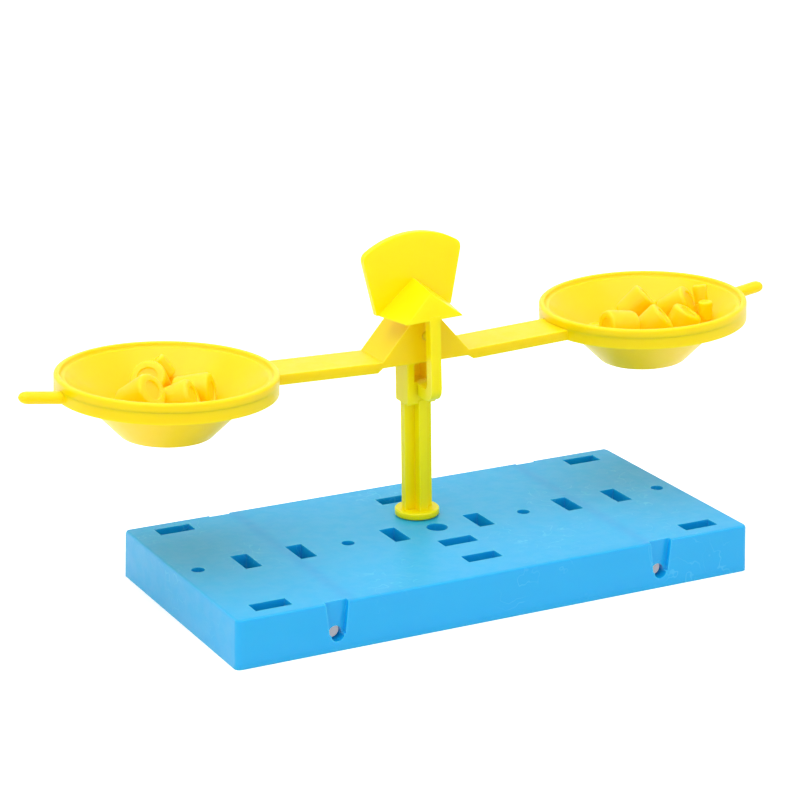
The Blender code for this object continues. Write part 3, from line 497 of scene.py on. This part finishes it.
class Finishes:
    """Every material of the object, made once."""

    def __init__(self) -> None:
        """Build the groups and the materials."""
        groups = EffectGroups()
        thin = (0.0012, 0.0011, 0.0002)
        thick = (0.0026, 0.0024, 0.0002)
        blue_depth = (0.0004, 0.0012, 0.002)
        # Each plastic's third colour is its painted edge highlight, and on the base also its scuff colour
        self.base = BasePlastic("sky_blue_plastic", (6, 175, 233), (2, 167, 228), (80, 200, 240), 0.34,
                                translucency=0.5, depth=blue_depth, scuffs=0.5, sheen=0.45).build(groups)
        self.castings = Plastic("lemon_plastic_castings", (255, 219, 2), (255, 211, 1), (255, 229, 40),
                                depth=thin).build(groups)
        # A lighter copy of the lemon plastic on the post and the bracket: painted light that offsets their
        # shade
        self.stand = Plastic("lemon_plastic_stand", (253, 229, 2), (252, 222, 1), (255, 234, 40),
                             depth=thick).build(groups)
        self.pans = Plastic("lemon_plastic_pans", (255, 218, 2), (255, 210, 1), (255, 228, 36), 0.33,
                            depth=thin).build(groups)
        self.weights = Plastic("lemon_plastic_weights", (255, 215, 6), (255, 205, 4), (255, 228, 50), 0.38,
                               edge_share=0.3, sheen=0.32).build(groups)
        self.pin = Plastic("lemon_plastic_pin", (255, 218, 6), (252, 208, 4), (255, 234, 60),
                           0.4).build(groups)


def finish_piece(name: str, builder: bmesh.types.BMesh, material: bpy.types.Material) -> bpy.types.Object:
    """Turn a bmesh into a smooth-shaded object at the origin.

    Args:
        name: The object's name.
        builder: The shape, freed here.
        material: The object's material.

    Returns:
        The new object.
    """
    mesh = bpy.data.meshes.new(name)
    for face in builder.faces:
        face.smooth = True
    builder.to_mesh(mesh)
    builder.free()
    mesh.materials.append(material)
    piece = bpy.data.objects.new(name, mesh)
    bpy.context.scene.collection.objects.link(piece)
    return piece


def keep_flats(piece: bpy.types.Object) -> None:
    """Let a piece's large faces set the shading, so that small roundings don't bend it.

    Args:
        piece: The piece that gets the modifier.
    """
    flats = piece.modifiers.new("flats_stay_flat", "WEIGHTED_NORMAL")
    flats.mode = "FACE_AREA"
    flats.weight = FLAT_WEIGHT


@dataclass(frozen=True)
class SoftCasting:
    """A CAD casting shown with the rounded edges that a mould leaves; lengths are in millimetres."""

    node: str
    radius: float
    segments: int = 3
    sharp_degrees: float = 28.0
    flat_degrees: float = 0.6
    merge: float = 0.02

    def build(self, frame: dict, material: bpy.types.Material) -> bpy.types.Object:
        """Copy the node's shape, join its loose faces and round its edges.

        Args:
            material: The piece's finish.

        Returns:
            The new piece, which replaces its node.
        """
        builder = bmesh.new()
        builder.from_mesh(frame["nodes"][self.node].data)
        bmesh.ops.remove_doubles(builder, verts=builder.verts[:], dist=self.merge * MM)
        bmesh.ops.dissolve_limit(builder, angle_limit=math.radians(self.flat_degrees), delimit={"NORMAL"},
                                 use_dissolve_boundaries=False, verts=builder.verts[:],
                                 edges=builder.edges[:])
        builder.normal_update()
        piece = finish_piece(f"{self.node}_casting", builder, material)
        rounding = piece.modifiers.new("rounded_edges", "BEVEL")
        rounding.width = self.radius * MM
        rounding.segments = self.segments
        rounding.limit_method = "ANGLE"
        rounding.angle_limit = math.radians(self.sharp_degrees)
        rounding.use_clamp_overlap = True
        keep_flats(piece)
        body = frame["nodes"][self.node]["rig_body"]
        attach(piece, body)
        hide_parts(self.node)
        return piece


@dataclass(frozen=True)
class Castings:
    """The base, the stand, the beam and the loose weights, which keep their CAD shape."""

    finishes: Finishes
    base: SoftCasting = SoftCasting("base", 0.3)
    stand: tuple[SoftCasting, ...] = (SoftCasting("post", 0.35), SoftCasting("pointer_bracket", 0.9, 4))
    pin: SoftCasting = SoftCasting("pivot_pin", 0.2)
    beam: SoftCasting = SoftCasting("beam", 0.12)
    weight_radius: float = 0.42

    def build(self, frame: dict) -> list[bpy.types.Object]:
        """Dress every casting.


        Returns:
            The new pieces.
        """
        pieces = [self.base.build(frame, self.finishes.base)]
        pieces += [casting.build(frame, self.finishes.stand) for casting in self.stand]
        pieces.append(self.pin.build(frame, self.finishes.pin))
        pieces.append(self.beam.build(frame, self.finishes.castings))
        for node in sorted(frame["nodes"]):
            if node.startswith("weight_"):
                pieces.append(SoftCasting(node, self.weight_radius).build(frame, self.finishes.weights))
        return pieces


@dataclass(frozen=True)
class Corner:
    """One corner of a turned section, in millimetres."""

    radius: float
    height: float
    fillet: float = 0.0


@dataclass(frozen=True)
class Pan:
    """A lift-out pan, turned from its section in its ring's own frame; lengths are in millimetres.

    SECTION runs from the middle of the underside up the outside to the rim and down the inside to the floor.
    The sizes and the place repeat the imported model's and don't follow it when it changes.
    """

    RIM: ClassVar[float] = 30.6
    UNDERSIDE: ClassVar[float] = -13.8
    FLOOR: ClassVar[float] = -12.3
    SECTION: ClassVar[dict[str, Corner]] = {
        "underside_middle": Corner(0.0, UNDERSIDE),
        "underside_edge": Corner(12.6, UNDERSIDE, 1.6),
        "wall_top": Corner(27.7, 1.62, 0.5),
        "rim_foot": Corner(RIM, 1.61, 0.05),
        "rim_top": Corner(RIM, 4.1, 0.8),
        "lip_crest": Corner(29.0, 4.1, 0.6),
        "lip_foot": Corner(28.6, 2.9, 0.6),
        "mouth": Corner(27.7, 2.9, 0.8),
        "floor_edge": Corner(11.85, FLOOR, 1.4),
        "floor_middle": Corner(0.0, FLOOR),
    }

    side: Side
    reach: float = 76.2
    pivot_height: float = 69.688
    depth_place: float = 10.275
    ring_drop: float = 5.367
    rise_degrees: float = 2.0
    tilt_degrees: float = 0.45
    steps: int = 144
    merge: float = 0.003

    @staticmethod
    def rounded(corners: list[Corner], steps: int = 5) -> list[tuple[float, float]]:
        """Round a section's corners.

        Args:
            corners: The sharp section.
            steps: Segments of each fillet.

        Returns:
            Points of the rounded section.
        """
        points: list[tuple[float, float]] = []
        for index, corner in enumerate(corners):
            here = Vector((corner.radius, corner.height))
            if corner.fillet <= 0:
                points.append(tuple(here))
                continue
            before = corners[index - 1]
            after = corners[index + 1]
            back = (Vector((before.radius, before.height)) - here).normalized()
            ahead = (Vector((after.radius, after.height)) - here).normalized()
            half = math.acos(max(-1.0, min(1.0, back.dot(ahead)))) / 2
            run = corner.fillet / math.tan(half)
            centre = here + (back + ahead).normalized() * (corner.fillet / math.sin(half))
            start, end = here + back * run - centre, here + ahead * run - centre
            sweep = start.angle_signed(end)
            for step in range(steps + 1):
                turn = Matrix.Rotation(-sweep * step / steps, 2)
                points.append(tuple(centre + turn @ start))
        return points

    def place(self) -> Matrix:
        """Find the pan's place: its ring's centre on the tilted beam, turned up by the arms' rise.

        Returns:
            The matrix from the ring's frame to the CAD's.
        """
        side = self.side.value
        pivot = Matrix.Translation(Vector((0.0, self.depth_place, self.pivot_height)) * MM)
        beam = pivot @ Matrix.Rotation(-math.radians(self.tilt_degrees), 4, "Y")
        ring = beam @ Matrix.Translation(Vector((side * self.reach, 0.0, -self.ring_drop)) * MM)
        return ring @ Matrix.Rotation(-side * math.radians(self.rise_degrees), 4, "Y")

    def build(self, material: bpy.types.Material) -> bpy.types.Object:
        """Turn the pan.

        Args:
            material: The pan's finish.

        Returns:
            The new piece, which replaces its node.
        """
        builder = bmesh.new()
        profile = [builder.verts.new((radius * MM, 0.0, height * MM))
                   for radius, height in self.rounded(list(self.SECTION.values()))]
        edges = [builder.edges.new(pair) for pair in zip(profile, profile[1:])]
        bmesh.ops.spin(builder, geom=profile + edges, axis=(0, 0, 1), cent=(0, 0, 0), dvec=(0, 0, 0),
                       angle=math.tau, steps=self.steps, use_merge=True, use_duplicate=False)
        bmesh.ops.remove_doubles(builder, verts=builder.verts[:], dist=self.merge * MM)
        bmesh.ops.recalc_face_normals(builder, faces=builder.faces[:])
        bmesh.ops.transform(builder, matrix=self.place(), verts=builder.verts[:])
        node = f"pan_{self.side.label}"
        piece = finish_piece(f"{node}_turned", builder, material)
        keep_flats(piece)
        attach(piece, node)
        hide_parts(node)
        return piece


@dataclass(frozen=True)
class PhotoCamera:
    """The photograph's camera, from a least-squares fit to the base's edges, slots and holes.

    Angles are in degrees, the lens and the sensor in millimetres. The shifts and the distance count in units.
    """

    azimuth: float = -27.806
    elevation: float = 17.747
    roll: float = 0.35
    lens: float = 124.2135
    shift_right: float = 0.1325
    shift_up: float = -0.4535
    distance: float = 9.8526
    unit: float = 0.08
    sensor: float = 36.0
    aim: tuple[float, float, float] = (0.001169, -0.001925, 0.0139)

    def build(self) -> bpy.types.Object:
        """Make the camera and make it the scene's.

        Returns:
            The camera object.
        """
        around, above, rolled = (math.radians(angle) for angle in (self.azimuth, self.elevation, self.roll))
        flat = math.cos(above)
        back = Vector((math.sin(around) * flat, -math.cos(around) * flat, math.sin(above)))
        level = Vector((math.cos(around), math.sin(around), 0.0))
        upright = back.cross(level)
        right = math.cos(rolled) * level + math.sin(rolled) * upright
        up = -math.sin(rolled) * level + math.cos(rolled) * upright
        eye = (-self.shift_right * right - self.shift_up * up + self.distance * back) * self.unit
        data = bpy.data.cameras.new("photo_camera")
        data.sensor_width = self.sensor
        data.lens = self.lens
        camera = bpy.data.objects.new("photo_camera", data)
        bpy.context.scene.collection.objects.link(camera)
        turn = Matrix((right, up, back)).transposed().to_4x4()
        camera.matrix_world = Matrix.Translation(eye + Vector(self.aim)) @ turn
        bpy.context.scene.camera = camera
        return camera


@dataclass(frozen=True)
class Studio:
    """A white floor, a big soft lamp overhead, a weak one at the left and even light all round.

    A lamp is its name, its place and its side in metres, and its power in watts.
    """

    floor_half: float = 3.0
    floor_colour: tuple[float, float, float, float] = (0.92, 0.92, 0.92, 1.0)
    floor_roughness: float = 0.9
    floor_glow: float = 0.4
    lamps: tuple[tuple[str, tuple[float, float, float], float, float], ...] = (
        ("overhead_softbox", (-0.20, -0.10, 1.60), 1.6, 17.5),
        ("left_softbox", (-1.20, -0.80, 0.60), 0.8, 1.2),
    )
    lamp_target: tuple[float, float, float] = (0.0, 0.0, 0.04)
    world_strength: float = 0.77
    diffuse_bounces: int = 12

    def build(self) -> None:
        """Build the floor, the lamps and the world."""
        self._floor()
        for name, place, size, power in self.lamps:
            self._lamp(name, place, size, power)
        self._world()
        scene = bpy.context.scene
        scene.view_settings.view_transform = "Standard"
        scene.cycles.diffuse_bounces = self.diffuse_bounces

    @staticmethod
    def _seen(wiring: Wiring) -> bpy.types.NodeSocket:
        """Tell the rays that show a surface from those that light one.

        Args:
            wiring: The tree that asks.

        Returns:
            A socket that is 1 for the showing rays.
        """
        path = wiring.add("ShaderNodeLightPath")
        seen = wiring.math("ADD", path.outputs["Is Camera Ray"], path.outputs["Is Glossy Ray"], clamp=True)
        return wiring.math("ADD", seen, path.outputs["Is Transmission Ray"], clamp=True)

    def _floor(self) -> None:
        """Lay the floor: white to the camera, plain to the light."""
        builder = bmesh.new()
        bmesh.ops.create_grid(builder, x_segments=1, y_segments=1, size=self.floor_half)
        material = bpy.data.materials.new("white_paper")
        material.use_nodes = True
        wiring = Wiring(material.node_tree)
        shader = material.node_tree.nodes["Principled BSDF"]
        shader.inputs["Base Color"].default_value = self.floor_colour
        shader.inputs["Roughness"].default_value = self.floor_roughness
        glow = wiring.add("ShaderNodeEmission")
        glow.inputs["Color"].default_value = WHITE
        wiring.feed(glow.inputs["Strength"], wiring.math("MULTIPLY", self._seen(wiring), self.floor_glow))
        both = wiring.add("ShaderNodeAddShader")
        wiring.feed(both.inputs[0], shader.outputs[0])
        wiring.feed(both.inputs[1], glow.outputs[0])
        output = material.node_tree.nodes["Material Output"]
        wiring.feed(output.inputs["Surface"], both.outputs[0])
        floor = finish_piece("floor", builder, material)

    def _lamp(self, name: str, place: tuple[float, float, float], size: float, power: float) -> None:
        """Hang one soft lamp that faces the object.

        Args:
            name: The lamp's name.
            place: Where it hangs, in metres.
            size: Its side.
            power: Its power in watts.
        """
        data = bpy.data.lights.new(name, "AREA")
        data.shape = "SQUARE"
        data.size = size
        data.energy = power
        lamp = bpy.data.objects.new(name, data)
        bpy.context.scene.collection.objects.link(lamp)
        lamp.location = place
        away = Vector(place) - Vector(self.lamp_target)
        lamp.rotation_euler = away.to_track_quat("Z", "Y").to_euler()

    def _world(self) -> None:
        """Light the scene evenly, with plain white behind it."""
        world = bpy.data.worlds.new("studio_world")
        bpy.context.scene.world = world
        world.use_nodes = True
        wiring = Wiring(world.node_tree)
        background = world.node_tree.nodes["Background"]
        background.inputs["Color"].default_value = WHITE
        seen = self._seen(wiring)
        rest = wiring.math("SUBTRACT", 1.0, seen)
        strength = wiring.math("ADD", seen, wiring.math("MULTIPLY", rest, self.world_strength))
        wiring.feed(background.inputs["Strength"], strength)


def main() -> None:
    """Load the frame, dress every piece, and set the camera and the light."""
    logging.basicConfig(level=logging.INFO, format="%(message)s")
    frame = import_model()
    camera = PhotoCamera().build()
    LOG.info("camera %s at %s", camera.name, tuple(round(value, 4) for value in camera.location))
    finishes = Finishes()
    pieces = Castings(finishes).build(frame)
    pieces += [Pan(side).build(finishes.pans) for side in Side]
    for piece in pieces:
        LOG.info("piece %s: %d faces", piece.name, len(piece.data.polygons))
    Studio().build()
    bpy.context.view_layer.update()


if __name__ == "__main__":
    main()
